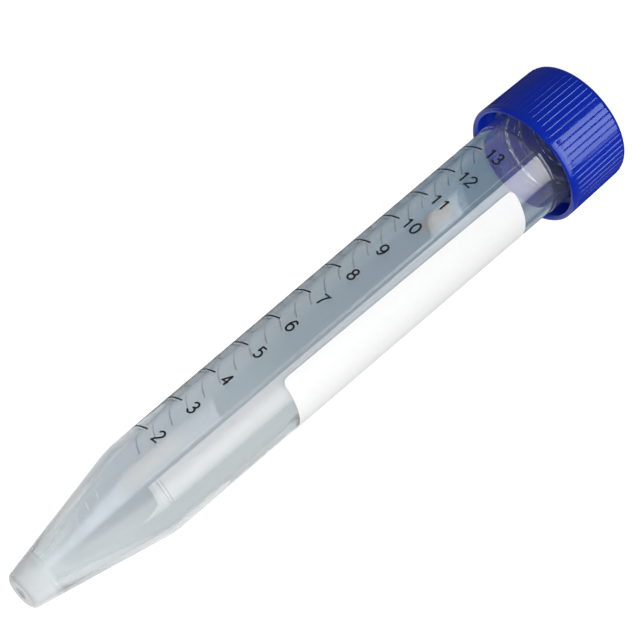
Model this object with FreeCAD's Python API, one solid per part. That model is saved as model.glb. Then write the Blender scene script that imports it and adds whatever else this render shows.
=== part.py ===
"""15 ml conical centrifuge tube with its screw cap.

The tube stands upside down on the flat top of its cap, because it rolls on its side.
Frame: millimetres, +Z up, origin at the centre of the cap's flat top, tip of the cone at the top.
Two injection-moulded pieces: the polypropylene tube and the ribbed polyethylene cap.
"""

import FreeCAD, Part
import math
import os

# ---- driving sizes of the whole object --------------------------------------------------
total_height = 119.3  # cap top to cone tip, closed
body_dia_neck = 16.7  # outside, where the body meets the collar
body_draft = 0.5  # loss of radius from the collar to the shoulder
cone_height = 23.2  # shoulder to tip end
tip_dia = 6.0  # outside of the cone, carried on to the tip end
body_wall = 1.07
cone_wall = 2.15  # at the bottom of the hollow, square to the axis
tip_solid = 3.4  # plastic below the bottom of the hollow

# ---- tube details -----------------------------------------------------------------------
tip_corner = 0.9  # rounding of the tip end
gate_dia = 2.2  # dimple left round the injection gate
gate_depth = 0.4
hollow_corner = 0.6  # rounding at the bottom of the hollow
shoulder_round = 1.2  # outside rounding between cone and body
collar_height = 3.6  # smooth band between the body and the threaded neck
collar_step = 0.15  # how far the collar stands proud of the body
collar_exposed = 1.5  # part of the collar that shows below the closed cap
neck_inset = 0.1  # how far the root of the thread lies inside the body's outside
mouth_round = 0.3  # rounding of the mouth rim's edges

# ---- cap details ------------------------------------------------------------------------
cap_height = 13.1
skirt_wall = 1.2  # at the lip
cap_top_wall = 1.3
cap_draft = 0.2  # loss of radius from lip to top
cap_edge_round = 1.3  # rounding between the top and the ribbed side
lip_height = 1.2  # smooth ring at the open end
lip_round = 0.3
rib_count = 64
rib_height = 0.2
rib_foot = 0.28  # width of a rib where it leaves the side
rib_crest = 0.12  # width of a rib at its top
rib_turn = -2.1  # degrees from the X axis to the first rib
thread_space = 1.4  # radial room left between neck and skirt for the two threads
skirt_lead = 0.4  # lead-in chamfer at the open end, radial
skirt_lead_height = 0.8
plug_depth = 3.0  # sealing ring that enters the mouth
plug_wall = 0.9
plug_clearance = 0.10
plug_taper = 0.35  # lead-in at the plug's free end, radial
gate_mark_dia = 2.4  # shallow dimple in the middle of the cap's top
gate_mark_depth = 0.2

# ---- sizes worked out from those above --------------------------------------------------
z_tip = total_height
z_shoulder = total_height - cone_height
z_mouth = cap_top_wall  # the mouth rim seats on the cap's inner face
z_collar_body = cap_height + collar_exposed
z_collar_neck = z_collar_body - collar_height
r_tip = tip_dia / 2
r_neck_end = body_dia_neck / 2
r_shoulder = r_neck_end - body_draft
r_collar = r_neck_end + collar_step
r_neck = r_neck_end - neck_inset
r_skirt = r_neck + thread_space
r_lip = r_skirt + skirt_wall
r_top = r_lip - cap_draft
body_slope = (r_neck_end - r_shoulder) / (z_shoulder - z_collar_body)
cone_slope = (r_shoulder - r_tip) / cone_height


def body_radius(z):
    """Outside of the drafted body at height z."""
    return r_shoulder + body_slope * (z_shoulder - z)


def cone_radius(z):
    """Outside of the cone at height z."""
    return r_tip + cone_slope * (z_tip - z)


def bore_radius(z):
    """Inside of the body at height z: it keeps the body's draft down to the mouth."""
    return body_radius(z) - body_wall


def revolved(points):
    """Solid of revolution about Z from a closed outline of (radius, height) points."""
    corners = [FreeCAD.Vector(r, 0, z) for r, z in points]
    wire = Part.makePolygon(corners + corners[:1])
    return Part.Face(wire).revolve(FreeCAD.Vector(0, 0, 0), FreeCAD.Vector(0, 0, 1), 360)


def rings_at(solid, radius, z):
    """Circular edges of a turned solid with the given radius and height."""
    found = []
    for edge in solid.Edges:
        curve = edge.Curve
        if not isinstance(curve, Part.Circle):
            continue
        if abs(curve.Radius - radius) < 1e-4 and abs(curve.Center.z - z) < 1e-4:
            found.append(edge)
    return found


def rounded(solid, size, *rings):
    """Solid with the named rings, each (radius, height), rounded to one size."""
    edges = []
    for radius, z in rings:
        edges += rings_at(solid, radius, z)
    return solid.makeFillet(size, edges)


# ---- tube -------------------------------------------------------------------------------
def make_tube():
    """One moulding: cone, drafted body, collar, plain neck under the thread, open mouth."""
    outside = revolved(
        [
            (0, z_mouth),
            (r_neck, z_mouth),
            (r_neck, z_collar_neck),
            (r_collar, z_collar_neck),
            (r_collar, z_collar_body),
            (r_neck_end, z_collar_body),
            (r_shoulder, z_shoulder),
            (r_tip, z_tip),
            (0, z_tip),
        ]
    )
    outside = rounded(outside, shoulder_round, (r_shoulder, z_shoulder))
    outside = rounded(outside, tip_corner, (r_tip, z_tip))
    outside = rounded(outside, mouth_round, (r_neck, z_mouth))

    z_hollow = z_tip - tip_solid
    r_hollow_end = cone_radius(z_hollow) - cone_wall
    r_inner_shoulder = bore_radius(z_shoulder)
    z_past_mouth = z_mouth - 1
    hollow = revolved(
        [
            (0, z_past_mouth),
            (bore_radius(z_past_mouth), z_past_mouth),
            (r_inner_shoulder, z_shoulder),
            (r_hollow_end, z_hollow),
            (0, z_hollow),
        ]
    )
    hollow = rounded(hollow, shoulder_round, (r_inner_shoulder, z_shoulder))
    hollow = rounded(hollow, hollow_corner, (r_hollow_end, z_hollow))

    gate = Part.makeCone(gate_dia / 4, gate_dia / 2, gate_depth, FreeCAD.Vector(0, 0, z_tip - gate_depth))
    return outside.cut(hollow).cut(gate)


# ---- cap --------------------------------------------------------------------------------
def rib_outline(r_crest, z):
    """Closed wire round the ribbed side at height z: a narrow rib, then an arc of plain side."""
    r_side = r_crest - rib_height
    pitch = 2 * math.pi / rib_count
    foot = rib_foot / r_side / 2
    crest = rib_crest / r_crest / 2

    def at(radius, angle):
        return FreeCAD.Vector(radius * math.cos(angle), radius * math.sin(angle), z)

    edges = []
    for number in range(rib_count):
        middle = math.radians(rib_turn) + number * pitch
        after = middle + pitch
        corners = [
            at(r_side, middle - foot),
            at(r_crest, middle - crest),
            at(r_crest, middle + crest),
            at(r_side, middle + foot),
        ]
        for start, end in zip(corners, corners[1:]):
            edges.append(Part.LineSegment(start, end).toShape())
        plain_middle = at(r_side, middle + pitch / 2)
        plain_end = at(r_side, after - foot)
        edges.append(Part.Arc(corners[-1], plain_middle, plain_end).toShape())
    return Part.Wire(edges)


def make_cap():
    """One moulding: ribbed skirt with a smooth lip, flat top, sealing plug inside."""
    z_lip = cap_height - lip_height
    ribbed = Part.makeLoft([rib_outline(r_top, 0), rib_outline(r_lip, cap_height)], True, True)
    envelope = revolved([(0, 0), (r_top, 0), (r_lip, z_lip), (0, z_lip)])
    envelope = rounded(envelope, cap_edge_round, (r_top, 0))
    lip = revolved([(0, z_lip), (r_lip, z_lip), (r_lip, cap_height), (0, cap_height)])
    lip = rounded(lip, lip_round, (r_lip, cap_height))
    body = ribbed.common(envelope).fuse(lip)

    r_plug = bore_radius(z_mouth) - plug_clearance
    z_plug = cap_top_wall + plug_depth
    r_hole = r_plug - plug_wall
    z_past_rim = cap_height + 1
    hollow = revolved(
        [
            (0, cap_top_wall),
            (r_hole, cap_top_wall),
            (r_hole, z_plug),
            (r_plug - plug_taper, z_plug),
            (r_plug, z_plug - plug_depth / 3),
            (r_plug, cap_top_wall),
            (r_skirt, cap_top_wall),
            (r_skirt, cap_height - skirt_lead_height),
            (r_skirt + skirt_lead, cap_height),
            (r_skirt + skirt_lead, z_past_rim),
            (0, z_past_rim),
        ]
    )
    gate_mark = Part.makeCone(gate_mark_dia / 2, gate_mark_dia / 4, gate_mark_depth)
    return body.cut(hollow).cut(gate_mark)


# ---- export -----------------------------------------------------------------------------
def export(shape, node):
    """Check that a piece is one sound solid and write its STEP file."""
    solids = shape.Solids
    if len(solids) != 1 or not solids[0].isValid():
        raise ValueError(node + " is not one sound solid")
    solids[0].exportStep("parts/" + node + ".step")
    print(node, "volume", round(solids[0].Volume, 1), "mm3", len(solids[0].Faces), "faces")


os.makedirs("parts", exist_ok=True)
export(make_tube(), "tube")
export(make_cap(), "cap")
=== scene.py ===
import math

import bmesh
import bpy
from mathutils import Matrix, Vector


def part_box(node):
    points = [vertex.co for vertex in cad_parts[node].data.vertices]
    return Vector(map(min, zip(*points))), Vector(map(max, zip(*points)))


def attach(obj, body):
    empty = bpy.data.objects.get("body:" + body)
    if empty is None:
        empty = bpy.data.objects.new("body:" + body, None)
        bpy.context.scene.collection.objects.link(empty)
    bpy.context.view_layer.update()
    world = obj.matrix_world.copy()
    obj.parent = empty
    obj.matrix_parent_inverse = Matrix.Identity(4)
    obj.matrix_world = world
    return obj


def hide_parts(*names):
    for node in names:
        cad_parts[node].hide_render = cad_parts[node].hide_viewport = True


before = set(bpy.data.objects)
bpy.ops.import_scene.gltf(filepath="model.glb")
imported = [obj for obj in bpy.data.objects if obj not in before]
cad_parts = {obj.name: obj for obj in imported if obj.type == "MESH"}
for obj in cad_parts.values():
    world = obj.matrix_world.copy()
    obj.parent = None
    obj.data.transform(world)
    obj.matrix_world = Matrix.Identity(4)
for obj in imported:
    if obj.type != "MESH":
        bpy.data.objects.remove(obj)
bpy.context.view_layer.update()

# ---- Camera ------------------------------------------------------------------------------
# A long lens, 23 degrees above the horizon and rolled, so that the upright tube is seen lying
# on a slant, with the cap at the upper right and the tip of its cone at the lower left.
CAMERA_PLACE = Vector((0.000146, -0.343626, 0.203279))
CAMERA_LENS, CAMERA_SENSOR = 138.505, 36.0
CAMERA_TURN = Matrix((
    (-0.64872611, 0.76100394, -0.00523831),
    (-0.29503419, -0.25783814, -0.92004039),
    (-0.70150499, -0.59530874, 0.39178852),
))

camera = bpy.data.objects.new("camera", bpy.data.cameras.new("camera"))
camera.data.sensor_width = CAMERA_SENSOR
camera.data.lens = CAMERA_LENS
camera.data.clip_start = 0.01
camera.data.clip_end = 20.0
camera.matrix_world = Matrix.Translation(CAMERA_PLACE) @ CAMERA_TURN.to_4x4()
bpy.context.scene.collection.objects.link(camera)
bpy.context.scene.camera = camera
bpy.context.scene.view_settings.view_transform = "Standard"

# ---- Tube --------------------------------------------------------------------------------
# One injection moulding of natural polypropylene: a cone with a solid end, a drafted body, a
# collar that is a little proud, and a threaded neck. It stands mouth down in the cap.
MM = 0.001
tube_low, tube_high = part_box("tube")
cap_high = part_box("cap")[1]
TIP = tube_high.z / MM
MOUTH = tube_low.z / MM
LIP = cap_high.z / MM
CONE_HIGH, COLLAR_SHOWS, COLLAR_HIGH = 23.2, 1.5, 3.6
SHOULDER = TIP - CONE_HIGH
COLLAR = LIP + COLLAR_SHOWS  # where the body meets the collar
COLLAR_END = COLLAR - COLLAR_HIGH
R_TIP, R_SHOULDER, R_BODY = 3.0, 7.85, 8.35
R_COLLAR, R_NECK = 8.5, 8.25
BODY_WALL, CONE_WALL, TIP_SOLID = 1.07, 2.15, 3.4
HOLLOW_END = TIP - TIP_SOLID
BODY_SLOPE = (R_BODY - R_SHOULDER) / (SHOULDER - COLLAR)
CONE_SLOPE = (R_SHOULDER - R_TIP) / (TIP - SHOULDER)
GATE_DEEP, GATE_FLAT, GATE_WIDE = 0.25, 0.55, 1.1  # the dimple's depth and two radii
GATE_FLOOR_ROUND, GATE_RIM_ROUND = 0.3, 0.2
TIP_ROUND, SHOULDER_ROUND, MOUTH_ROUND = 0.9, 15.0, 0.3
HOLLOW_SHOULDER_ROUND, HOLLOW_END_ROUND = 8.0, 0.6
COLLAR_RISE, COLLAR_ROUND, COLLAR_END_ROUND, NECK_CORNER_ROUND = 0.05, 0.05, 0.06, 0.08
BODY_TOP, BODY_FOOT, BORE_TOP = SHOULDER - 1.9, COLLAR + 0.4, SHOULDER - 6
ARC_LEAST, ARC_DEGREES, ARC_STEP = 6, 9, 0.1  # how finely a rounding is divided
TUBE_STEPS = 288  # corners round the tube
THREAD_PITCH, THREAD_HIGH, THREAD_FOOT, THREAD_CREST = 3.0, 0.9, 1.35, 0.5
THREAD_START, THREAD_TURNS = 3.3, 2.4
THREAD_FADE = 0.125  # part of a turn over which each end of the ridge rises
THREAD_RING = 0.1  # height between the rings of corners on the neck
RINGS_BELOW_COLLAR, RINGS_SHORT = 0.2, 0.6  # where they start, and the height without any
THREAD_LOW, THREAD_TOP = MOUTH + 0.35, COLLAR_END - 0.15
TOLERANCE = 0.01  # mm, when a corner is told by its place
MERGE_WITHIN = 2e-6


def body_radius(z):
    """Outside of the drafted body or of the cone, in mm, at a height in mm."""
    if z > SHOULDER:
        return R_TIP + CONE_SLOPE * (TIP - z)
    return R_SHOULDER + BODY_SLOPE * (SHOULDER - z)


def clamped(value):
    """The value, kept between 0 and 1."""
    return min(max(value, 0.0), 1.0)


def start_piece(name):
    """A new mesh of one vertex at the origin, in edit mode, with nothing else selected."""
    bpy.ops.object.select_all(action="DESELECT")
    bpy.ops.mesh.primitive_plane_add(size=MM)
    piece = bpy.context.object
    piece.name = piece.data.name = name
    bpy.ops.object.mode_set(mode="EDIT")
    bpy.ops.mesh.select_mode(type="VERT")
    bpy.ops.mesh.select_all(action="SELECT")
    bpy.ops.mesh.merge(type="CENTER")
    return piece


def draw_outline(points):
    """Moves the lone vertex to the first point, in mm, and extrudes it on through the others."""
    here = Vector((0, 0, 0))
    for number, point in enumerate(points):
        step = (Vector(point) - here) * MM
        if number == 0:
            bpy.ops.transform.translate(value=step)
        else:
            bpy.ops.mesh.extrude_region_move(TRANSFORM_OT_translate={"value": step})
        here = Vector(point)


def rounded(points):
    """An outline of (radius, height, rounding) corners with its arcs put in, as points in mm."""
    out = []
    for number, (r, z, size) in enumerate(points):
        here = Vector((r, z))
        if not size:
            out.append(here)
            continue
        before = (Vector(points[number - 1][:2]) - here).normalized()
        after = (Vector(points[number + 1][:2]) - here).normalized()
        half = before.angle(after) / 2
        centre = here + (before + after).normalized() * size / math.sin(half)
        start = here + before * size / math.tan(half)
        turn = (start - centre).angle_signed(here + after * size / math.tan(half) - centre)
        by_angle = int(abs(math.degrees(turn)) / ARC_DEGREES)
        by_length = int(abs(turn) * size / ARC_STEP)
        count = max(ARC_LEAST, by_angle, by_length)
        for k in range(count + 1):
            spoke = (start - centre).copy()
            spoke.rotate(Matrix.Rotation(-turn * k / count, 2))
            out.append(centre + spoke)
    return [(p.x, 0.0, p.y) for p in out]


def turn_round(steps):
    """Spins the drawn outline all the way round the axis and closes its seam and its poles."""
    bpy.ops.mesh.select_all(action="SELECT")
    bpy.ops.mesh.spin(steps=steps, angle=math.tau, center=(0, 0, 0), axis=(0, 0, 1))
    bpy.ops.mesh.select_all(action="SELECT")
    bpy.ops.mesh.remove_doubles(threshold=MERGE_WITHIN)
    bpy.ops.mesh.normals_make_consistent(inside=False)


def leave_edit(piece, angle=30):
    """Back to object mode, shaded smooth but for edges sharper than the angle."""
    bpy.ops.object.mode_set(mode="OBJECT")
    bpy.ops.object.select_all(action="DESELECT")
    piece.select_set(True)
    bpy.context.view_layer.objects.active = piece
    bpy.ops.object.shade_smooth_by_angle(angle=math.radians(angle))


# Down the outside from the gate to the mouth, and back up the inside. The neck has many rings,
# from which the thread is raised.
neck_rings = [
    (R_NECK, COLLAR_END - RINGS_BELOW_COLLAR - THREAD_RING * k, 0)
    for k in range(int((COLLAR_END - MOUTH - RINGS_SHORT) / THREAD_RING))
]
tube_outline = rounded([
    (0.0, TIP - GATE_DEEP, 0),
    (GATE_FLAT, TIP - GATE_DEEP, GATE_FLOOR_ROUND),
    (GATE_WIDE, TIP, GATE_RIM_ROUND),
    (R_TIP, TIP, TIP_ROUND),
    (R_SHOULDER, SHOULDER, SHOULDER_ROUND),
    (body_radius(BODY_TOP), BODY_TOP, 0),
    (body_radius(BODY_FOOT), BODY_FOOT, 0),
    (R_BODY, COLLAR, COLLAR_ROUND),
    (R_COLLAR, COLLAR - COLLAR_RISE, COLLAR_ROUND),
    (R_COLLAR, COLLAR_END, COLLAR_END_ROUND),
    (R_NECK, COLLAR_END, NECK_CORNER_ROUND),
    *neck_rings,
    (R_NECK, MOUTH, MOUTH_ROUND),
    (body_radius(MOUTH) - BODY_WALL, MOUTH, MOUTH_ROUND),
    (body_radius(BORE_TOP) - BODY_WALL, BORE_TOP, 0),
    (R_SHOULDER - BODY_WALL, SHOULDER, HOLLOW_SHOULDER_ROUND),
    (body_radius(HOLLOW_END) - CONE_WALL, HOLLOW_END, HOLLOW_END_ROUND),
    (0.0, HOLLOW_END, 0),
])
tube = start_piece("tube_moulding")
draw_outline(tube_outline)
turn_round(TUBE_STEPS)
bpy.ops.object.mode_set(mode="OBJECT")

# The thread on the neck, a right-hand ridge raised from its rings, fading out at both ends.
for vertex in tube.data.vertices:
    r, z = vertex.co.xy.length / MM, vertex.co.z / MM
    if abs(r - R_NECK) > TOLERANCE or not THREAD_LOW < z < THREAD_TOP:
        continue
    turns = math.atan2(vertex.co.y, vertex.co.x) / math.tau % 1.0
    turns += round((z - THREAD_START) / THREAD_PITCH - turns)
    off = abs(z - THREAD_START - THREAD_PITCH * turns)
    flank = clamped((THREAD_FOOT / 2 - off) / (THREAD_FOOT - THREAD_CREST) * 2)
    ends = clamped(min(turns, THREAD_TURNS - turns) / THREAD_FADE)
    raised = THREAD_HIGH * flank * flank * (3 - 2 * flank) * ends
    vertex.co.xy *= (r + raised) / r

# Two fine lines left by the mould are scored into rings of the shoulder's rounding, on the
# panel's side only, fading at their ends.
SCORE_DEEP, SCORES_ABOVE_SHOULDER = 0.05, (-0.2, -0.65)
SCORE_MIDDLE, SCORE_HALF, SCORE_FADE = 22, 26, 8  # degrees round the tube
OUTSIDE_OVER = R_SHOULDER - 0.5  # at the shoulder, only the outside is as wide as this
ring_levels = [z for r, _, z in tube_outline if r > OUTSIDE_OVER]
scored_levels = [
    min(ring_levels, key=lambda z: abs(z - SHOULDER - above)) for above in SCORES_ABOVE_SHOULDER
]
for vertex in tube.data.vertices:
    r, z = vertex.co.xy.length / MM, vertex.co.z / MM
    if r > OUTSIDE_OVER and min(abs(z - level) for level in scored_levels) < TOLERANCE / 2:
        azimuth = math.degrees(math.atan2(-vertex.co.x, -vertex.co.y))
        scored = SCORE_DEEP * clamped((SCORE_HALF - abs(azimuth - SCORE_MIDDLE)) / SCORE_FADE)
        vertex.co.xy *= (r - scored) / r
leave_edit(tube)


def linear(code):
    """A linear colour from its sRGB hex code."""
    parts = [int(code[k:k + 2], 16) / 255 for k in (1, 3, 5)]
    parts = [c / 12.92 if c <= 0.04045 else ((c + 0.055) / 1.055) ** 2.4 for c in parts]
    return (*parts, 1.0)


def new_material(name):
    """An empty node material and its output node."""
    made = bpy.data.materials.new(name)
    made.use_nodes = True
    made.node_tree.nodes.clear()
    return made, made.node_tree.nodes.new("ShaderNodeOutputMaterial")


def add_node(output, kind, settings=None, sockets=None, links=None):
    """Adds a node beside the output: its settings, its socket values and its incoming links."""
    tree = output.id_data
    node = tree.nodes.new("ShaderNode" + kind)
    for key, value in (settings or {}).items():
        setattr(node, key, value)
    for key, value in (sockets or {}).items():
        node.inputs[key].default_value = value
    for key, source in (links or {}).items():
        tree.links.new(source, node.inputs[key])
    return node


# Natural polypropylene, injection moulded and glossy: clear, a little blue-grey, and milkier
# where the plastic is thick or seen along the wall. Faint flow lines run from the gate.
PLUS, TIMES = {"operation": "ADD"}, {"operation": "MULTIPLY"}
TIMES_PLUS = {"operation": "MULTIPLY_ADD"}
SMOOTH, BLEND = {"interpolation_type": "SMOOTHSTEP"}, {"data_type": "RGBA"}
NOISE_LOW, NOISE_HIGH = 0.3, 0.7  # where nearly all of a noise pattern's values lie
MILKY_TIP, TIP_CLEAR_BELOW, TIP_SOLID_ABOVE = 0.5, TIP - 4.9, TIP - 3.0
MILKY_CONE, CONE_CLEAR_BELOW, CONE_MILKY_ABOVE = 0.1, SHOULDER - 3.0, TIP - 6.0
MILKY_FACE, MILKY_EDGE, EDGE_POWER = 0.06, 0.36, 1.6
MILKY_NECK = 0.22  # how much of that is left near the collar
NECK_CLEAR_BELOW, BODY_MILKY_ABOVE = COLLAR + 2.0, COLLAR + 30.0
FLOW_SIZE, FLOW_LONG, FLOW_MILKY = 2.222, 0.06, 0.04  # mm, scale along the tube, milkiness
SKIN_SIZE, SKIN_GLOSSY, SKIN_DULL = 1.111, 0.015, 0.035  # mm and roughness
PP_IOR, PP_SCATTER = 1.49, 6.0

polypropylene, out = new_material("natural_polypropylene")
place = add_node(out, "TexCoord").outputs["Object"]
height = add_node(out, "SeparateXYZ", links={"Vector": place}).outputs["Z"]
solid = add_node(out, "MapRange", SMOOTH, {
    "From Min": TIP_CLEAR_BELOW * MM, "From Max": TIP_SOLID_ABOVE * MM,
}, {"Value": height})
milky_tip = add_node(out, "Math", TIMES, {1: MILKY_TIP}, {0: solid.outputs["Result"]})
milky_cone = add_node(out, "MapRange", SMOOTH, {
    "From Min": CONE_CLEAR_BELOW * MM, "From Max": CONE_MILKY_ABOVE * MM,
    "To Min": 0.0, "To Max": MILKY_CONE,
}, {"Value": height})
milky_body = add_node(out, "MapRange", SMOOTH, {
    "From Min": NECK_CLEAR_BELOW * MM, "From Max": BODY_MILKY_ABOVE * MM,
    "To Min": MILKY_NECK, "To Max": 1.0,
}, {"Value": height})
edge_on = add_node(out, "LayerWeight", sockets={"Blend": 0.5}).outputs["Facing"]
edge_on = add_node(out, "Math", {"operation": "POWER"}, {1: EDGE_POWER}, {0: edge_on})
milky_edge = add_node(out, "Math", TIMES_PLUS, {1: MILKY_EDGE, 2: MILKY_FACE}, {
    0: edge_on.outputs[0]})
milky_edge = add_node(out, "Math", TIMES, None, {
    0: milky_edge.outputs[0], 1: milky_body.outputs["Result"]})
flow_place = add_node(
    out, "Mapping", sockets={"Scale": (1.0, 1.0, FLOW_LONG)}, links={"Vector": place})
flow = add_node(out, "TexNoise", sockets={
    "Scale": 1 / (FLOW_SIZE * MM), "Detail": 3.0, "Roughness": 0.6,
}, links={"Vector": flow_place.outputs["Vector"]})
flow_share = add_node(out, "Math", TIMES_PLUS, {1: FLOW_MILKY, 2: -FLOW_MILKY / 2}, {
    0: flow.outputs["Fac"]})
milky = add_node(out, "Math", PLUS, None, {
    0: milky_tip.outputs[0], 1: milky_cone.outputs["Result"]})
milky = add_node(out, "Math", PLUS, None, {0: milky.outputs[0], 1: milky_edge.outputs[0]})
milky = add_node(out, "Math", {**PLUS, "use_clamp": True}, None, {
    0: milky.outputs[0], 1: flow_share.outputs[0]})
clear_share = add_node(out, "Math", {"operation": "SUBTRACT"}, {0: 1.0}, {1: milky.outputs[0]})
tint = add_node(out, "Mix", BLEND, {6: linear("#EAEEF0"), 7: linear("#F1F4F5")}, {
    0: flow.outputs["Fac"]})
tint = add_node(out, "Mix", BLEND, {7: linear("#DCE3E6")}, {
    0: milky_tip.outputs[0], 6: tint.outputs[2]})
skin = add_node(out, "TexNoise", sockets={"Scale": 1 / (SKIN_SIZE * MM), "Detail": 2.0}, links={
    "Vector": place})
dull = add_node(out, "MapRange", None, {
    "From Min": NOISE_LOW, "From Max": NOISE_HIGH, "To Min": SKIN_GLOSSY, "To Max": SKIN_DULL,
}, {"Value": skin.outputs["Fac"]})
plastic = add_node(out, "BsdfPrincipled", sockets={
    "IOR": PP_IOR, "Specular IOR Level": 0.5,
    "Subsurface Scale": PP_SCATTER * MM, "Subsurface Radius": (1.0, 1.0, 1.0),
}, links={
    "Subsurface Weight": solid.outputs["Result"], "Base Color": tint.outputs[2],
    "Roughness": dull.outputs["Result"], "Transmission Weight": clear_share.outputs[0],
})
# Light reaches what is inside and behind: to a lamp's shadow rays the plastic is nearly clear.
see_lamp = add_node(out, "BsdfTransparent", sockets={"Color": linear("#FAFBFC")})
for_lamps = add_node(out, "LightPath").outputs["Is Shadow Ray"]
skin_mix = add_node(out, "MixShader", None, None, {
    0: for_lamps, 1: plastic.outputs["BSDF"], 2: see_lamp.outputs["BSDF"]})
out.id_data.links.new(skin_mix.outputs[0], out.inputs["Surface"])

tube.data.materials.clear()
tube.data.materials.append(polypropylene)
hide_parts("tube")
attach(tube, "tube")

# ---- Printed scale -----------------------------------------------------------------------
# Black pad-printed ink about 20 microns thick: a long mark at each millilitre with its number,
# and a short mark half way between. The print leans a little across the tube, as it came.
INK_HIGH = 0.02
LEAN = 0.08  # degrees round the tube for each mm towards the mouth
PRINT_MID = TIP - 63.8
MARK_COUNT, FIRST_MARK, MARK_APART = 24, 2.0, 0.5  # how many, and their volumes in ml
SLICE = 0.01  # mm of height at a time, as the hollow fills
MM3_IN_ML = 1000
MARK_START, LONG_END, SHORT_END = -138.8, -48.8, -72.5  # degrees from the near line
LONG_WIDE, SHORT_WIDE = 0.3, 0.24
STRIP_STEP = 0.25  # mm between the cuts that let a strip lie round the tube


def hollow_radius(z):
    """Inside of the tube, in mm, at a height in mm."""
    if z < SHOULDER:
        return body_radius(z) - BODY_WALL
    up = (z - SHOULDER) / (HOLLOW_END - SHOULDER)
    return (1 - up) * (R_SHOULDER - BODY_WALL) + up * (body_radius(HOLLOW_END) - CONE_WALL)


# Each mark stands where the hollow, filled from its closed end, holds the mark's volume.
mark_levels = []
volume, level, wanted = 0.0, HOLLOW_END, FIRST_MARK
while len(mark_levels) < MARK_COUNT:
    volume += math.pi * hollow_radius(level) ** 2 * SLICE / MM3_IN_ML
    level -= SLICE
    if volume >= wanted:
        mark_levels.append(level)
        wanted += MARK_APART

# Pad-printing ink, cured in air: a dense black with a fine grain and a low gloss. Its back, seen
# through the milky wall, is painted paler and a little blue: painted haze of light over the black
# ink.
INK_GRAIN, INK_ROUGHNESS, INK_IOR = 0.4, 0.45, 1.5

ink, out = new_material("black_pad_ink")
place = add_node(out, "TexCoord").outputs["Object"]
grain = add_node(out, "TexNoise", sockets={"Scale": 1 / (INK_GRAIN * MM), "Detail": 4.0}, links={
    "Vector": place})
shade = add_node(out, "Mix", BLEND, {6: linear("#050506"), 7: linear("#151618")}, {
    0: grain.outputs["Fac"]})
# Seen from behind, the ink is painted paler and bluer, standing in for light through the milky
# wall.
painted_pale_back = add_node(out, "NewGeometry").outputs["Backfacing"]
shade = add_node(out, "Mix", BLEND, {7: linear("#445A66")}, {0: painted_pale_back, 6: shade.outputs[2]})
ink_skin = add_node(out, "BsdfPrincipled", sockets={
    "Roughness": INK_ROUGHNESS, "IOR": INK_IOR}, links={"Base Color": shade.outputs[2]})
out.id_data.links.new(ink_skin.outputs["BSDF"], out.inputs["Surface"])


def wrap_on_body(piece, azimuth, height, high=INK_HIGH, leaning=True):
    """Lays a flat print, drawn in mm from its own origin, on the tube. Its x runs round the tube
    from the azimuth, in degrees from the near line, and its y towards the mouth."""
    for vertex in piece.data.vertices:
        x, y = vertex.co.x, vertex.co.y
        z = height - y
        radius = body_radius(z)
        turn = math.radians(azimuth + (LEAN * (PRINT_MID - z) if leaning else 0)) + x / radius
        radius += high
        vertex.co = Vector((-radius * math.sin(turn), -radius * math.cos(turn), z)) * MM


def flat_strip(name, length, width):
    """A thin strip of ink, cut across often enough to lie round the tube."""
    bpy.ops.object.select_all(action="DESELECT")
    bpy.ops.mesh.primitive_grid_add(
        x_subdivisions=max(2, int(length / STRIP_STEP)), y_subdivisions=1, size=1.0)
    strip = bpy.context.object
    strip.name = strip.data.name = name
    bpy.ops.object.mode_set(mode="EDIT")
    bpy.ops.mesh.select_all(action="SELECT")
    bpy.ops.transform.resize(value=(length, width, 1))
    bpy.ops.transform.translate(value=(length / 2, 0, 0))
    bpy.ops.object.mode_set(mode="OBJECT")
    return strip


for number, level in enumerate(mark_levels):
    long_mark = number % 2 == 0
    end = LONG_END if long_mark else SHORT_END
    width = LONG_WIDE if long_mark else SHORT_WIDE
    length = math.radians(end - MARK_START) * body_radius(level)
    mark = flat_strip("mark_%02d" % number, length, width)
    wrap_on_body(mark, MARK_START, level)
    mark.data.materials.append(ink)
    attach(mark, "tube")

# ---- Moulded marks -----------------------------------------------------------------------
# Four short marks, for the first two millilitres, moulded in the tube's own polypropylene on
# the far side of the cone, where there is no print.
MOULDED_LONG, MOULDED_WIDE, MOULDED_AZIMUTH = 2.6, 0.36, -147
MOULDED_BELOW_TIP = (10.9, 13.7, 16.3, 18.7)
FROST_GRAIN, FROST_ROUGHNESS, FROST_CLEAR = 0.5, 0.4, 0.35

# The same plastic, but its broken surface scatters the light, so the marks look frosted white.
frosted, out = new_material("frosted_polypropylene")
place = add_node(out, "TexCoord").outputs["Object"]
grain = add_node(out, "TexNoise", sockets={"Scale": 1 / (FROST_GRAIN * MM), "Detail": 3.0}, links={
    "Vector": place})
shade = add_node(out, "Mix", BLEND, {6: linear("#F2F5F7"), 7: linear("#FFFFFF")}, {
    0: grain.outputs["Fac"]})
frost_skin = add_node(out, "BsdfPrincipled", sockets={
    "Roughness": FROST_ROUGHNESS, "IOR": PP_IOR, "Transmission Weight": FROST_CLEAR,
}, links={"Base Color": shade.outputs[2]})
out.id_data.links.new(frost_skin.outputs["BSDF"], out.inputs["Surface"])

for number, below in enumerate(MOULDED_BELOW_TIP):
    mark = flat_strip("moulded_mark_%d" % number, MOULDED_LONG, MOULDED_WIDE)
    wrap_on_body(mark, MOULDED_AZIMUTH, TIP - below, leaning=False)
    mark.data.materials.append(frosted)
    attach(mark, "tube")

# ---- Printed numbers ---------------------------------------------------------------------
# The same ink, in plain upright digits 2.4 mm high with strokes 0.32 mm wide: one number to
# each millilitre mark from 2 to 13. The last has a dot after it.
DIGIT_HIGH, DIGIT_WIDE, DIGIT_GAP, STROKE = 2.4, 1.38, 0.22, 0.32
FIRST_NUMBER, LAST_NUMBER = 2, 13
ONE_DIGIT_START, TWO_DIGIT_START = -35.0, -40.8  # degrees from the near line


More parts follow.
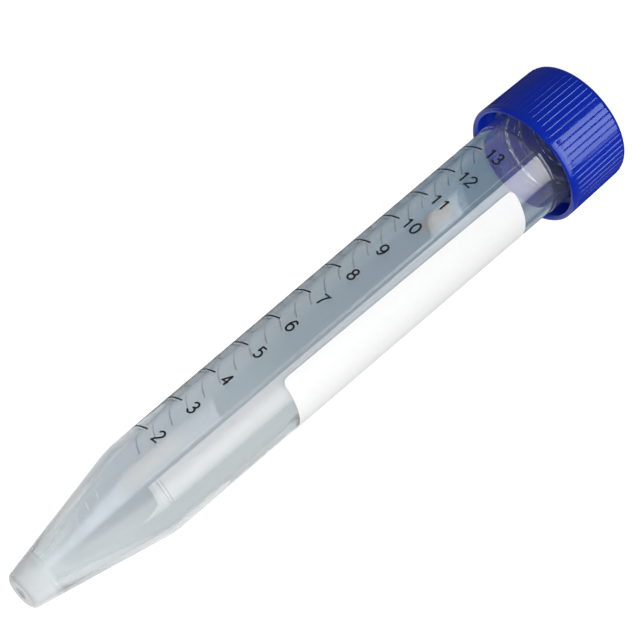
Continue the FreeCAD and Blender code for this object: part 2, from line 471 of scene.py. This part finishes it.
def arc(cx, cy, rx, ry, start, end, count=14):
    """Points on an ellipse between two angles in degrees, anticlockwise if end is larger."""
    angles = [math.radians(start + (end - start) * k / count) for k in range(count + 1)]
    return [(cx + rx * math.cos(a), cy + ry * math.sin(a)) for a in angles]


# Middle lines of the strokes, in a box 1 wide and 2 high with its origin at the lower left.
DIGIT_LINES = {
    "0": [arc(0.5, 1.0, 0.5, 1.0, 0, 360, 36)],
    "1": [[(0.16, 1.58), (0.44, 1.74), (0.6, 1.98)], [(0.62, 2.0), (0.62, 0.0)]],
    "2": [arc(0.5, 1.45, 0.47, 0.55, 170, -35, 20)
          + [(0.55, 0.72), (0.2, 0.38), (0.03, 0.0), (1.0, 0.0)]],
    "3": [arc(0.47, 1.52, 0.42, 0.48, 165, -90, 20) + arc(0.47, 0.53, 0.5, 0.53, 90, -165, 24)],
    "4": [[(0.74, 0.0), (0.74, 2.0)], [(0.72, 1.94), (0.0, 0.62), (1.0, 0.62)]],
    "5": [[(0.9, 2.0), (0.22, 2.0), (0.1, 1.02)], arc(0.46, 0.65, 0.51, 0.65, 137, -145, 26)],
    "6": [arc(0.52, 1.42, 0.45, 0.58, 25, 110, 10) + arc(0.62, 0.9, 0.62, 1.02, 125, 180, 10)
          + arc(0.5, 0.62, 0.49, 0.62, 180, 540, 34)],
    "7": [[(0.0, 2.0), (1.0, 2.0), (0.68, 1.5), (0.45, 0.95), (0.33, 0.45), (0.28, 0.0)]],
    "8": [arc(0.5, 1.52, 0.41, 0.48, -90, 270, 30), arc(0.5, 0.53, 0.5, 0.53, 90, 450, 34)],
    "9": [arc(0.48, 0.58, 0.45, 0.58, 205, 290, 10) + arc(0.38, 1.1, 0.62, 1.02, -55, 0, 10)
          + arc(0.5, 1.38, 0.49, 0.62, 0, 360, 34)],
    ".": [[(0.36, 0.05), (0.56, 0.05)]],
}


def stroke_piece(name, lines, width):
    """Flat ribbons of ink along the middle lines, in mm, joined as one flat mesh."""
    nib = bpy.data.objects.new("nib", bpy.data.curves.new("nib", "CURVE"))
    nib.data.dimensions = "2D"
    tip = nib.data.splines.new("POLY")
    tip.points.add(1)
    tip.points[0].co = (-width / 2, 0, 0, 1)
    tip.points[1].co = (width / 2, 0, 0, 1)
    bpy.context.scene.collection.objects.link(nib)
    pen = bpy.data.objects.new(name, bpy.data.curves.new(name, "CURVE"))
    pen.data.dimensions = "2D"
    pen.data.fill_mode = "NONE"
    pen.data.bevel_mode = "OBJECT"
    pen.data.bevel_object = nib
    for line in lines:
        path = pen.data.splines.new("POLY")
        path.points.add(len(line) - 1)
        for point, (x, y) in zip(path.points, line):
            point.co = (x, y, 0, 1)
    bpy.context.scene.collection.objects.link(pen)
    bpy.ops.object.select_all(action="DESELECT")
    pen.select_set(True)
    bpy.context.view_layer.objects.active = pen
    bpy.ops.object.convert(target="MESH")
    piece = bpy.context.object
    piece.name = piece.data.name = name
    bpy.data.objects.remove(nib)
    return piece


def number_lines(text):
    """Middle lines of a whole number, in mm, from its left edge, level with its middle."""
    lines = []
    across = STROKE / 2
    for sign in text:
        for line in DIGIT_LINES[sign]:
            lines.append([
                (across + x * (DIGIT_WIDE - STROKE), (y / 2 - 0.5) * (DIGIT_HIGH - STROKE))
                for x, y in line
            ])
        across += DIGIT_WIDE + DIGIT_GAP
    return lines


for value in range(FIRST_NUMBER, LAST_NUMBER + 1):
    text = str(value) + ("." if value == LAST_NUMBER else "")
    digits = stroke_piece("number_%02d" % value, number_lines(text), STROKE)
    level = mark_levels[(value - FIRST_NUMBER) * 2]
    wrap_on_body(digits, ONE_DIGIT_START if value < 10 else TWO_DIGIT_START, level)
    digits.data.materials.clear()
    digits.data.materials.append(ink)
    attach(digits, "tube")

# ---- Writing panel -----------------------------------------------------------------------
# White matt ink, screen printed as one rounded block to be written on, about 14 by 50 mm.
# It lies beside the scale and has the same lean.
PANEL_LOW, PANEL_HIGH = TIP - 97.6, TIP - 48.0
PANEL_WIDE, PANEL_ROUND, PANEL_THICK = 14.0, 1.1, 0.03
PANEL_AZIMUTH = 9.6  # degrees from the near line to its edge on the scale's side
PANEL_COLUMNS, PANEL_CORNER_STEPS = 56, 8

bpy.ops.object.select_all(action="DESELECT")
bpy.ops.mesh.primitive_plane_add(size=1.0)
panel = bpy.context.object
panel.name = panel.data.name = "writing_panel"
bpy.ops.object.mode_set(mode="EDIT")
bpy.ops.mesh.select_all(action="SELECT")
bpy.ops.transform.resize(value=(PANEL_WIDE, PANEL_HIGH - PANEL_LOW, 1))
bpy.ops.transform.translate(value=(PANEL_WIDE / 2, 0, 0))
bpy.ops.mesh.bevel(offset=PANEL_ROUND, segments=PANEL_CORNER_STEPS, affect="VERTICES")
for k in range(1, PANEL_COLUMNS):
    bpy.ops.mesh.select_all(action="SELECT")
    bpy.ops.mesh.bisect(plane_co=(PANEL_WIDE * k / PANEL_COLUMNS, 0, 0), plane_no=(1, 0, 0))
bpy.ops.object.mode_set(mode="OBJECT")
wrap_on_body(panel, PANEL_AZIMUTH, (PANEL_LOW + PANEL_HIGH) / 2, high=PANEL_THICK)

# Screen-printing ink full of white pigment: a chalky, dead matt white with the faint grain of
# the screen's mesh, a little uneven in tone.
CHALK_GRAIN, CHALK_RELIEF, CHALK_ROUGHNESS, CHALK_IOR = 0.7143, 0.03, 0.7, 1.5

white_ink, out = new_material("white_writing_ink")
place = add_node(out, "TexCoord").outputs["Object"]
grain = add_node(out, "TexNoise", sockets={
    "Scale": 1 / (CHALK_GRAIN * MM), "Detail": 5.0, "Roughness": 0.65}, links={"Vector": place})
shade = add_node(out, "Mix", BLEND, {6: linear("#F2F3F4"), 7: linear("#FBFBFB")}, {
    0: grain.outputs["Fac"]})
relief = add_node(out, "Bump", sockets={"Strength": 0.12, "Distance": CHALK_RELIEF * MM}, links={
    "Height": grain.outputs["Fac"]})
white_skin = add_node(out, "BsdfPrincipled", sockets={
    "Roughness": CHALK_ROUGHNESS, "IOR": CHALK_IOR,
}, links={"Base Color": shade.outputs[2], "Normal": relief.outputs["Normal"]})
out.id_data.links.new(white_skin.outputs["BSDF"], out.inputs["Surface"])
panel.data.materials.append(white_ink)
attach(panel, "tube")

# ---- Cap ---------------------------------------------------------------------------------
# One injection moulding of blue high-density polyethylene: a skirt with 64 fine grip ribs and
# a smooth lip, a flat top that it stands on, a thread inside and a ring that seals the mouth.
RIBS, PER_RIB = 64, 20
R_LIP, R_TOP, RIB_HIGH = 10.85, 10.65, 0.1
LIP_HIGH, LIP_ROUND, RIB_FADE = 1.2, 0.3, 0.35
RIB_END = LIP - LIP_HIGH
EDGE_ROUND = 1.3
RIB_TURN = -2.1  # degrees from the X axis to the first rib
R_SKIRT, CAP_FLOOR, FLOOR_ROUND = 9.65, 1.3, 0.3
LEAD_WIDE, LEAD_HIGH = 0.6, 0.8  # the skirt's flare at the open end
PLUG_CLEAR, PLUG_DEEP, PLUG_WALL, PLUG_TAPER, PLUG_TAPER_HIGH = 0.10, 3.0, 0.9, 0.35, 1.0
R_PLUG = body_radius(MOUTH) - BODY_WALL - PLUG_CLEAR
PLUG_END = CAP_FLOOR + PLUG_DEEP
R_GATE, R_GATE_RIM, GATE_HIGH = 0.6, 1.2, 0.2  # the dimple in the middle of the flat top
CORNER = 360 / RIBS / PER_RIB  # degrees from one corner of a ring to the next
CAP_MERGE_WITHIN = 5e-6
ring_now = {"crest": R_GATE, "flank": R_GATE, "land": R_GATE, "z": GATE_HIGH}

bpy.ops.object.select_all(action="DESELECT")
bpy.ops.mesh.primitive_circle_add(
    vertices=RIBS * PER_RIB, radius=R_GATE * MM, location=(0, 0, GATE_HIGH * MM),
    fill_type="TRIFAN")
cap = bpy.context.object
cap.name = cap.data.name = "cap_moulding"
bpy.ops.object.transform_apply(location=True, rotation=True, scale=True)
# A ring's first corner is on the Y axis. Turned so, each rib has two corners on its crest.
cap.data.transform(Matrix.Rotation(math.radians(RIB_TURN - CORNER / 2 - 90), 4, "Z"))
bpy.ops.object.mode_set(mode="EDIT")
bpy.ops.mesh.select_mode(type="VERT")
bpy.ops.mesh.select_all(action="SELECT")


def part_of_rib(place):
    """Where a corner of a ring lies: on a rib's crest, on its rounded flank, or between ribs."""
    turn = (math.degrees(math.atan2(place.y, place.x)) - RIB_TURN) % (360 / RIBS)
    steps = min(turn, 360 / RIBS - turn) / CORNER
    return "crest" if steps < 1 else "flank" if steps < 2 else "land"


def pick_corners(ring, test):
    """Of a ring's corners, selects those whose place passes the test, and nothing else."""
    bpy.ops.mesh.select_all(action="DESELECT")
    mesh = bmesh.from_edit_mesh(cap.data)
    mesh.verts.ensure_lookup_table()
    for number in ring:
        if test(mesh.verts[number].co):
            mesh.verts[number].select = True
    mesh.select_flush_mode()
    bmesh.update_edit_mesh(cap.data)


def next_ring(crest, z, land=None):
    """Extrudes the cap's open edge to a height, with one radius on the ribs and one between."""
    land = crest if land is None else land
    radii = {"crest": crest, "flank": (crest + land) / 2, "land": land}
    rise = (0, 0, (z - ring_now["z"]) * MM)
    bpy.ops.mesh.extrude_region_move(TRANSFORM_OT_translate={"value": rise})
    ring = [vertex.index for vertex in bmesh.from_edit_mesh(cap.data).verts if vertex.select]
    for part, radius in radii.items():
        pick_corners(ring, lambda place: part_of_rib(place) == part)
        scale = radius / ring_now[part]
        bpy.ops.transform.resize(value=(scale, scale, 1), center_override=(0, 0, 0))
    pick_corners(ring, lambda place: True)
    ring_now.update(radii, z=z)


def side_radius(z):
    """Over the ribs, in mm: the draft, and the rounding at the flat top."""
    drafted = R_TOP + (R_LIP - R_TOP) * min(z / RIB_END, 1)
    if z < EDGE_ROUND:
        drafted -= EDGE_ROUND - math.sqrt(EDGE_ROUND ** 2 - (EDGE_ROUND - z) ** 2)
    return drafted


def land_radius(z):
    """Between the ribs, in mm, level with them where the top's rounding has cut them away."""
    return min(side_radius(z), R_TOP + (R_LIP - R_TOP) * z / RIB_END - RIB_HIGH)


# The whole first disc is selected, so only its rim is kept for the first extrusion.
rim = [
    vertex.index for vertex in bmesh.from_edit_mesh(cap.data).verts
    if vertex.co.xy.length > R_GATE / 2 * MM
]
pick_corners(rim, lambda place: True)
next_ring(R_GATE_RIM, 0.0)
next_ring(R_TOP - EDGE_ROUND, 0.0)
for degrees in (12, 24, 36, 48, 60, 75, 90):
    level = EDGE_ROUND * (1 - math.cos(math.radians(degrees)))
    next_ring(side_radius(level), level, land_radius(level))
for up in (0.33, 0.66, 1.0):
    level = EDGE_ROUND + (RIB_END - RIB_FADE - EDGE_ROUND) * up
    next_ring(side_radius(level), level, land_radius(level))
# The lands run out to the lip, whose rounded edge then turns inside, to the skirt and the plug.
next_ring(side_radius(RIB_END), RIB_END, side_radius(RIB_END))
lip_edge = [
    (R_LIP, LIP - LIP_ROUND), (R_LIP - 0.04, LIP - 0.15), (R_LIP - 0.13, LIP - 0.05),
    (R_LIP - LIP_ROUND, LIP),
]
skirt_inside = [
    (R_SKIRT + LEAD_WIDE, LIP), (R_SKIRT + 0.47, LIP - 0.04), (R_SKIRT + 0.38, LIP - 0.16),
    (R_SKIRT, LIP - LEAD_HIGH), (R_SKIRT, CAP_FLOOR + FLOOR_ROUND),
    (R_SKIRT - FLOOR_ROUND, CAP_FLOOR),
]
plug_and_floor = [
    (R_PLUG, CAP_FLOOR), (R_PLUG, PLUG_END - PLUG_TAPER_HIGH), (R_PLUG - PLUG_TAPER, PLUG_END),
    (R_PLUG - PLUG_WALL, PLUG_END), (R_PLUG - PLUG_WALL, CAP_FLOOR),
    (0.5, CAP_FLOOR), (0.001, CAP_FLOOR),
]
for r, z in lip_edge + skirt_inside + plug_and_floor:
    next_ring(r, z)
bpy.ops.mesh.select_all(action="SELECT")
bpy.ops.mesh.remove_doubles(threshold=CAP_MERGE_WITHIN)
bpy.ops.mesh.normals_make_consistent(inside=False)
leave_edit(cap, 70)

# The thread in the cap, a ridge half a pitch away from the tube's own, its foot sunk in the
# skirt. Its outline is filled, driven round by a screw and closed at both ends.
CAP_THREAD_HIGH, CAP_THREAD_SUNK, CAP_THREAD_TURNS = 0.8, 0.2, 1.9
CAP_THREAD_STEPS = 137
thread_mid = THREAD_START + 0.5 * THREAD_PITCH
cap_thread = start_piece("cap_thread")
draw_outline([
    (R_SKIRT + CAP_THREAD_SUNK, 0, thread_mid - THREAD_FOOT / 2),
    (R_SKIRT + CAP_THREAD_SUNK, 0, thread_mid + THREAD_FOOT / 2),
    (R_SKIRT - CAP_THREAD_HIGH, 0, thread_mid + THREAD_CREST / 2),
    (R_SKIRT - CAP_THREAD_HIGH, 0, thread_mid - THREAD_CREST / 2),
])
bpy.ops.mesh.select_all(action="SELECT")
bpy.ops.mesh.edge_face_add()
bpy.ops.object.mode_set(mode="OBJECT")
screw = cap_thread.modifiers.new("thread", "SCREW")
screw.angle = math.tau * CAP_THREAD_TURNS
screw.screw_offset = THREAD_PITCH * CAP_THREAD_TURNS * MM
screw.steps = screw.render_steps = CAP_THREAD_STEPS
screw.use_merge_vertices = False
bpy.ops.object.modifier_apply(modifier=screw.name)
bpy.ops.object.mode_set(mode="EDIT")
bpy.ops.mesh.select_all(action="SELECT")
bpy.ops.mesh.remove_doubles(threshold=MERGE_WITHIN)
bpy.ops.mesh.fill_holes(sides=4)
bpy.ops.mesh.normals_make_consistent(inside=False)
leave_edit(cap_thread)

# Blue polyethylene, injection moulded: a deep even blue with faint swirls of pigment, and a
# satin skin whose highlights are wide and a little blue.
SWIRL_SIZE, SATIN_SIZE, SATIN_RELIEF = 4.545, 0.5556, 0.02
SATIN_GLOSSY, SATIN_DULL, PE_IOR = 0.09, 0.14, 1.54

polyethylene, out = new_material("blue_polyethylene")
place = add_node(out, "TexCoord").outputs["Object"]
swirl = add_node(out, "TexNoise", sockets={
    "Scale": 1 / (SWIRL_SIZE * MM), "Detail": 4.0, "Roughness": 0.55, "Distortion": 0.6,
}, links={"Vector": place})
colour = add_node(out, "Mix", BLEND, {6: linear("#0323A6"), 7: linear("#052EB6")}, {
    0: swirl.outputs["Fac"]})
fine = add_node(out, "TexNoise", sockets={"Scale": 1 / (SATIN_SIZE * MM), "Detail": 3.0}, links={
    "Vector": place})
dull = add_node(out, "MapRange", None, {
    "From Min": NOISE_LOW, "From Max": NOISE_HIGH, "To Min": SATIN_GLOSSY, "To Max": SATIN_DULL,
}, {"Value": fine.outputs["Fac"]})
relief = add_node(out, "Bump", sockets={"Strength": 0.1, "Distance": SATIN_RELIEF * MM}, links={
    "Height": fine.outputs["Fac"]})
blue = add_node(out, "BsdfPrincipled", sockets={
    "IOR": PE_IOR, "Specular IOR Level": 0.38, "Specular Tint": linear("#CFE5FF"),
}, links={
    "Base Color": colour.outputs[2], "Roughness": dull.outputs["Result"],
    "Normal": relief.outputs["Normal"],
})
out.id_data.links.new(blue.outputs["BSDF"], out.inputs["Surface"])
for piece in (cap, cap_thread):
    piece.data.materials.clear()
    piece.data.materials.append(polyethylene)
    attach(piece, "cap")
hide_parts("cap")

# ---- Floor and room ----------------------------------------------------------------------
# A white sheet of paper in a plain white room. The room lights the object gently, and what is
# mirrored or seen through clear plastic sees the room below the horizon too, not the paper.
FLOOR_WIDE = 8.0  # metres
PAPER_GLOW = 0.85  # to the camera only
ROOM_LIGHT, ROOM_SEEN, ROOM_MIRRORED = 0.26, 1.0, 0.14

bpy.ops.object.select_all(action="DESELECT")
bpy.ops.mesh.primitive_plane_add(size=FLOOR_WIDE)
floor = bpy.context.object
floor.name = floor.data.name = "floor"
paper, out = new_material("white_paper")
seen = add_node(out, "LightPath").outputs["Is Camera Ray"]
glow = add_node(out, "Math", TIMES, {1: PAPER_GLOW}, {0: seen})
light = add_node(out, "Emission", sockets={"Color": linear("#FFFFFF")}, links={
    "Strength": glow.outputs[0]})
matt = add_node(out, "BsdfDiffuse", sockets={"Color": linear("#E7E7E7")})
both = add_node(out, "AddShader", None, None, {0: light.outputs[0], 1: matt.outputs[0]})
out.id_data.links.new(both.outputs[0], out.inputs["Surface"])
floor.data.materials.append(paper)
floor.visible_glossy = False
floor.visible_transmission = False

world = bpy.data.worlds.new("room")
bpy.context.scene.world = world
world.use_nodes = True
world.node_tree.nodes.clear()
out = world.node_tree.nodes.new("ShaderNodeOutputWorld")
rays = add_node(out, "LightPath").outputs
seen = add_node(out, "Math", {**PLUS, "use_clamp": True}, None, {
    0: rays["Is Camera Ray"], 1: rays["Is Transmission Ray"]})
power = add_node(out, "MapRange", None, {"To Min": ROOM_LIGHT, "To Max": ROOM_SEEN}, {
    "Value": seen.outputs[0]})
power = add_node(out, "Math", TIMES_PLUS, {1: ROOM_MIRRORED - ROOM_LIGHT}, {
    0: rays["Is Glossy Ray"], 2: power.outputs[0]})
room = add_node(out, "Background", sockets={"Color": linear("#FFFFFF")}, links={
    "Strength": power.outputs[0]})
world.node_tree.links.new(room.outputs[0], out.inputs["Surface"])

# ---- Lamps -------------------------------------------------------------------------------
# A large soft key lamp in front on the panel's side, and a weak fill lamp further round. They
# light the object and cast its shadow, but they aren't mirrored or seen through the plastic.
LAMP_TARGET = Vector((0, 0, 60))  # mm, the middle of the tube


def place_at(azimuth, distance, height):
    """A place in mm: degrees from the near line towards the panel, and mm from the axis and up."""
    turn = math.radians(azimuth)
    return Vector((-distance * math.sin(turn), -distance * math.cos(turn), height))


def add_lamp(name, azimuth, away, height, wide, high, watts):
    """A soft rectangular lamp, in mm, turned towards the middle of the tube."""
    place = place_at(azimuth, away, height)
    lamp = bpy.data.objects.new(name, bpy.data.lights.new(name, "AREA"))
    lamp.data.shape = "RECTANGLE"
    lamp.data.size, lamp.data.size_y = wide * MM, high * MM
    lamp.data.energy = watts
    lamp.location = place * MM
    lamp.rotation_euler = (place - LAMP_TARGET).to_track_quat("Z", "Y").to_euler()
    lamp.visible_camera = False
    lamp.visible_glossy = False
    lamp.visible_transmission = False
    bpy.context.scene.collection.objects.link(lamp)


add_lamp("key", azimuth=26, away=600, height=300, wide=400, high=400, watts=3.15)
add_lamp("fill", azimuth=100, away=600, height=260, wide=300, high=400, watts=0.2)

# ---- Soft box and strip light ------------------------------------------------------------
# Two lit cloths in front, which show only in what mirrors them: a wide soft box on the panel's
# side, and a narrow strip light just past its edge on the scale's side.
BOX_AWAY, BOX_WIDE, BOX_TOP, BOX_END, BOX_TURN = 520.0, 640.0, 134.0, -560.0, 35.0
BOX_COLOUR, BOX_STRENGTH = "#FFFFFF", 6.6
BOX_CURVE = ((0.0, 0.85), (0.45, 1.0), (0.75, 0.8), (0.92, 0.55), (1.0, 0.0))  # across it
BOX_DIM_LOW, BOX_DIM_HIGH, BOX_DIM = -262, -215, 0.68  # heights between which it dims
BOX_WARM_LOW, BOX_WARM_HIGH, BOX_WARM = -200, -120, "#FFF4F1"
STRIP_TURN, STRIP_WIDE, STRIP_COLOUR, STRIP_STRENGTH = -8, 14.0, "#FFF4EC", 2.5
BOX_ACROSS = place_at(BOX_TURN + 90, 1, 0)  # along the box, towards the panel's side


def stand_card(name, azimuth, away, wide, low, high, made):
    """An upright card, in mm, that faces the tube from an azimuth."""
    bpy.ops.object.select_all(action="DESELECT")
    bpy.ops.mesh.primitive_plane_add(size=1.0)
    card = bpy.context.object
    card.name = card.data.name = name
    card.data.transform(
        Matrix.Translation(place_at(azimuth, away, (low + high) / 2) * MM)
        @ Matrix.Rotation(math.radians(-azimuth), 4, "Z")
        @ Matrix.Rotation(math.radians(90), 4, "X")
        @ Matrix.Diagonal((wide * MM, (high - low) * MM, 1, 1)))
    card.data.materials.append(made)
    made.cycles.emission_sampling = "NONE"
    card.visible_camera = False
    card.visible_diffuse = False
    card.visible_shadow = False
    return card


def cloth_material(name, colour, strength):
    """Lit cloth that shows only in what mirrors it. Returns its shine too, to be shaded."""
    made, out = new_material(name)
    mirrored = add_node(out, "LightPath").outputs["Glossy Depth"]
    mirrored = add_node(out, "Math", {"operation": "GREATER_THAN"}, {1: 0.5}, {0: mirrored})
    shine = add_node(out, "Emission", sockets={"Color": linear(colour), "Strength": strength})
    nothing = add_node(out, "BsdfTransparent")
    cloth = add_node(out, "MixShader", None, None, {
        0: mirrored.outputs[0], 1: nothing.outputs[0], 2: shine.outputs[0]})
    out.id_data.links.new(cloth.outputs[0], out.inputs["Surface"])
    return made, shine


# The soft box fades out at its edge on the panel's side, is dimmer above, and warmer still
# further up.
box_cloth, shine = cloth_material("soft_box_cloth", BOX_COLOUR, BOX_STRENGTH)
place = add_node(shine, "TexCoord").outputs["Object"]
across = add_node(shine, "VectorMath", {"operation": "DOT_PRODUCT"}, {1: BOX_ACROSS}, {0: place})
across = add_node(shine, "MapRange", None, {
    "From Min": -BOX_WIDE / 2 * MM, "From Max": BOX_WIDE / 2 * MM,
}, {"Value": across.outputs["Value"]})
fade = add_node(shine, "FloatCurve", None, None, {"Value": across.outputs[0]})
curve = fade.mapping.curves[0].points
curve[0].location, curve[1].location = BOX_CURVE[0], BOX_CURVE[-1]
for point in BOX_CURVE[1:-1]:
    curve.new(*point)
fade.mapping.update()
level = add_node(shine, "SeparateXYZ", links={"Vector": place}).outputs["Z"]
up = add_node(shine, "MapRange", SMOOTH, {
    "From Min": BOX_DIM_LOW * MM, "From Max": BOX_DIM_HIGH * MM,
    "To Min": BOX_STRENGTH, "To Max": BOX_DIM * BOX_STRENGTH,
}, {"Value": level})
power = add_node(shine, "Math", TIMES, None, {0: fade.outputs[0], 1: up.outputs[0]})
shine.id_data.links.new(power.outputs[0], shine.inputs["Strength"])
warm = add_node(shine, "MapRange", SMOOTH, {
    "From Min": BOX_WARM_LOW * MM, "From Max": BOX_WARM_HIGH * MM}, {"Value": level})
warm = add_node(shine, "Mix", BLEND, {6: linear(BOX_COLOUR), 7: linear(BOX_WARM)}, {
    0: warm.outputs[0]})
shine.id_data.links.new(warm.outputs[2], shine.inputs["Color"])
stand_card("soft_box", BOX_TURN, BOX_AWAY, BOX_WIDE, BOX_END, BOX_TOP, box_cloth)

strip_cloth, shine = cloth_material("strip_light_cloth", STRIP_COLOUR, STRIP_STRENGTH)
stand_card("strip_light", STRIP_TURN, BOX_AWAY, STRIP_WIDE, BOX_END, BOX_TOP, strip_cloth)

# ---- White cards -------------------------------------------------------------------------
# Three white cards behind the tube, seen only in what mirrors them: one that brightens the
# edge on the panel's side, and one behind each side of the cone.
WHITE_AWAY, WHITE_TOP, WHITE_GLOW = 400, 320, 1.05

white_card, out = new_material("white_card")
card_glow = add_node(out, "Emission", sockets={
    "Color": linear("#FFFFFF"), "Strength": WHITE_GLOW})
out.id_data.links.new(card_glow.outputs[0], out.inputs["Surface"])
for name, azimuth, wide, low in (
    ("edge_card", 165, 240, -175),
    ("near_cone_card", 139, 210, -50),
    ("far_cone_card", -140, 600, -50),
):
    mirrored_card = stand_card(name, azimuth, WHITE_AWAY, wide, low, WHITE_TOP, white_card)
    mirrored_card.visible_transmission = False

# ---- Shade card --------------------------------------------------------------------------
# A glowing card 40 mm behind the tube, with painted shadow and painted light on it, which only the
# light that comes through clear plastic shows: painted shade, blue-grey, low down near the cap,
# paler towards the tip and on the panel's side.
SHADE_AWAY, SHADE_WIDE, SHADE_LOW, SHADE_TOP = 40, 300, -250, 250
SHADE_FOOT, SCALE_PALE, PANEL_PALE, SHADE_POWER = -6.5, 78.5, 45, 0.85  # heights, and a power
DIP_MIDDLE, DIP_HALF, DIP_EDGE, DIP_SHADE = -1.3, 0.6, 3.0, 0.78
BAND_OUT, BAND_HALF, BAND_EDGE, BAND_PALE = 25, 4, 16, 0.45
BAND_SCALE_SIDE = 0.4  # how much of the pale band there is on the scale's side
BAND_TURNS = 9  # and within how far of the middle it changes to the full one
WARM_OUT, WARM_HALF, WARM_EDGE = 4.3, 2.0, 2.7
WARM_FIELDS = (  # the height of each one's middle, its half height, soft edge and colour
    (12.5, 4.0, 1.0, "#898686"),
    (80.0, 10.0, 6.0, "#C8C5C4"),
)
PANEL_SIDE_FROM, PANEL_SIDE_TO = -1.0, -5.5
CONE_FROM, CONE_TO, TIP_FROM, TIP_TO = 97, 105, 102, 107  # heights behind the cone
BESIDE_FROM, BESIDE_TO = 7, 14

painted_shade, out = new_material("painted_shade_card")
spot = add_node(out, "TexCoord").outputs["Object"]
spot = add_node(out, "SeparateXYZ", links={"Vector": spot}).outputs

# The painted shade on the scale's side and on the panel's side each pales upwards at its own rate.
rise = add_node(out, "MapRange", None, {
    "From Min": SHADE_FOOT * MM, "From Max": SCALE_PALE * MM}, {"Value": spot["Z"]})
rise = add_node(out, "Math", {"operation": "POWER"}, {1: SHADE_POWER}, {0: rise.outputs[0]})
left = add_node(out, "Mix", BLEND, {6: linear("#597C97"), 7: linear("#B3BDC4")}, {
    0: rise.outputs[0]})
rise = add_node(out, "MapRange", None, {
    "From Min": SHADE_FOOT * MM, "From Max": PANEL_PALE * MM}, {"Value": spot["Z"]})
right = add_node(out, "Mix", BLEND, {6: linear("#61819B"), 7: linear("#D3D7D8")}, {
    0: rise.outputs[0]})
side = add_node(out, "MapRange", SMOOTH, {
    "From Min": PANEL_SIDE_FROM * MM, "From Max": PANEL_SIDE_TO * MM}, {"Value": spot["X"]})
level = add_node(out, "Mix", BLEND, None, {
    0: side.outputs[0], 6: left.outputs[2], 7: right.outputs[2]})

# A narrow darker dip of painted shadow runs up the middle.
dip = add_node(out, "Math", PLUS, {1: -DIP_MIDDLE * MM}, {0: spot["X"]})
dip = add_node(out, "Math", {"operation": "ABSOLUTE"}, None, {0: dip.outputs[0]})
dip = add_node(out, "MapRange", SMOOTH, {
    "From Min": DIP_HALF * MM, "From Max": DIP_EDGE * MM, "To Min": DIP_SHADE,
}, {"Value": dip.outputs[0]})
level = add_node(out, "VectorMath", {"operation": "SCALE"}, None, {
    0: level.outputs[2], "Scale": dip.outputs[0]})

# A pale band of painted light stands on each side, where the tube's curved edges bend it into
# sight.
out_by = add_node(out, "Math", {"operation": "ABSOLUTE"}, None, {0: spot["X"]})
away = add_node(out, "Math", {"operation": "SUBTRACT"}, {1: BAND_OUT * MM}, {
    0: out_by.outputs[0]})
away = add_node(out, "Math", {"operation": "ABSOLUTE"}, None, {0: away.outputs[0]})
away = add_node(out, "MapRange", SMOOTH, {
    "From Min": BAND_EDGE * MM, "From Max": BAND_HALF * MM, "To Max": BAND_PALE,
}, {"Value": away.outputs[0]})
panel_side = add_node(out, "MapRange", None, {
    "From Min": BAND_TURNS * MM, "From Max": -BAND_TURNS * MM,
    "To Min": BAND_SCALE_SIDE, "To Max": 1.0,
}, {"Value": spot["X"]})
away = add_node(out, "Math", TIMES, None, {0: away.outputs[0], 1: panel_side.outputs[0]})
level = add_node(out, "Mix", BLEND, {7: linear("#FFFFFF")}, {
    0: away.outputs[0], 6: level.outputs[0]})

# Two warm fields of painted reflection lie where the far wall mirrors the soft box past the ends
# of the panel.
near_field = add_node(out, "Math", {"operation": "SUBTRACT"}, {1: WARM_OUT * MM}, {0: spot["X"]})
near_field = add_node(out, "Math", {"operation": "ABSOLUTE"}, None, {0: near_field.outputs[0]})
near_field = add_node(out, "MapRange", SMOOTH, {
    "From Min": WARM_EDGE * MM, "From Max": WARM_HALF * MM}, {"Value": near_field.outputs[0]})
for middle, half, edge, colour in WARM_FIELDS:
    field = add_node(out, "Math", {"operation": "SUBTRACT"}, {1: middle * MM}, {0: spot["Z"]})
    field = add_node(out, "Math", {"operation": "ABSOLUTE"}, None, {0: field.outputs[0]})
    field = add_node(out, "MapRange", SMOOTH, {
        "From Min": half * MM, "From Max": (half - edge) * MM}, {"Value": field.outputs[0]})
    field = add_node(out, "Math", TIMES, None, {0: field.outputs[0], 1: near_field.outputs[0]})
    level = add_node(out, "Mix", BLEND, {7: linear(colour)}, {
        0: field.outputs[0], 6: level.outputs[2]})

# Behind the cone the painted shade is grey in the middle and paler beside it, and painted light
# makes it paler yet at the tip.
top = add_node(out, "MapRange", SMOOTH, {
    "From Min": CONE_FROM * MM, "From Max": CONE_TO * MM}, {"Value": spot["Z"]})
beside = add_node(out, "MapRange", SMOOTH, {
    "From Min": BESIDE_FROM * MM, "From Max": BESIDE_TO * MM}, {"Value": out_by.outputs[0]})
ends = add_node(out, "Mix", BLEND, {6: linear("#BAC4C7"), 7: linear("#E7EAEB")}, {
    0: beside.outputs[0]})
tip_back = add_node(out, "MapRange", SMOOTH, {
    "From Min": TIP_FROM * MM, "From Max": TIP_TO * MM}, {"Value": spot["Z"]})
ends = add_node(out, "Mix", BLEND, {7: linear("#E7EBEC")}, {
    0: tip_back.outputs[0], 6: ends.outputs[2]})
level = add_node(out, "Mix", BLEND, None, {
    0: top.outputs[0], 6: level.outputs[2], 7: ends.outputs[2]})
# The card glows with this painted shade and painted light; it is no lamp.
painted_shade_glow = add_node(out, "Emission", links={"Color": level.outputs[2]})
out.id_data.links.new(painted_shade_glow.outputs[0], out.inputs["Surface"])
shade_card = stand_card("shade_card", 180, SHADE_AWAY, SHADE_WIDE, SHADE_LOW, SHADE_TOP, painted_shade)
shade_card.visible_glossy = False
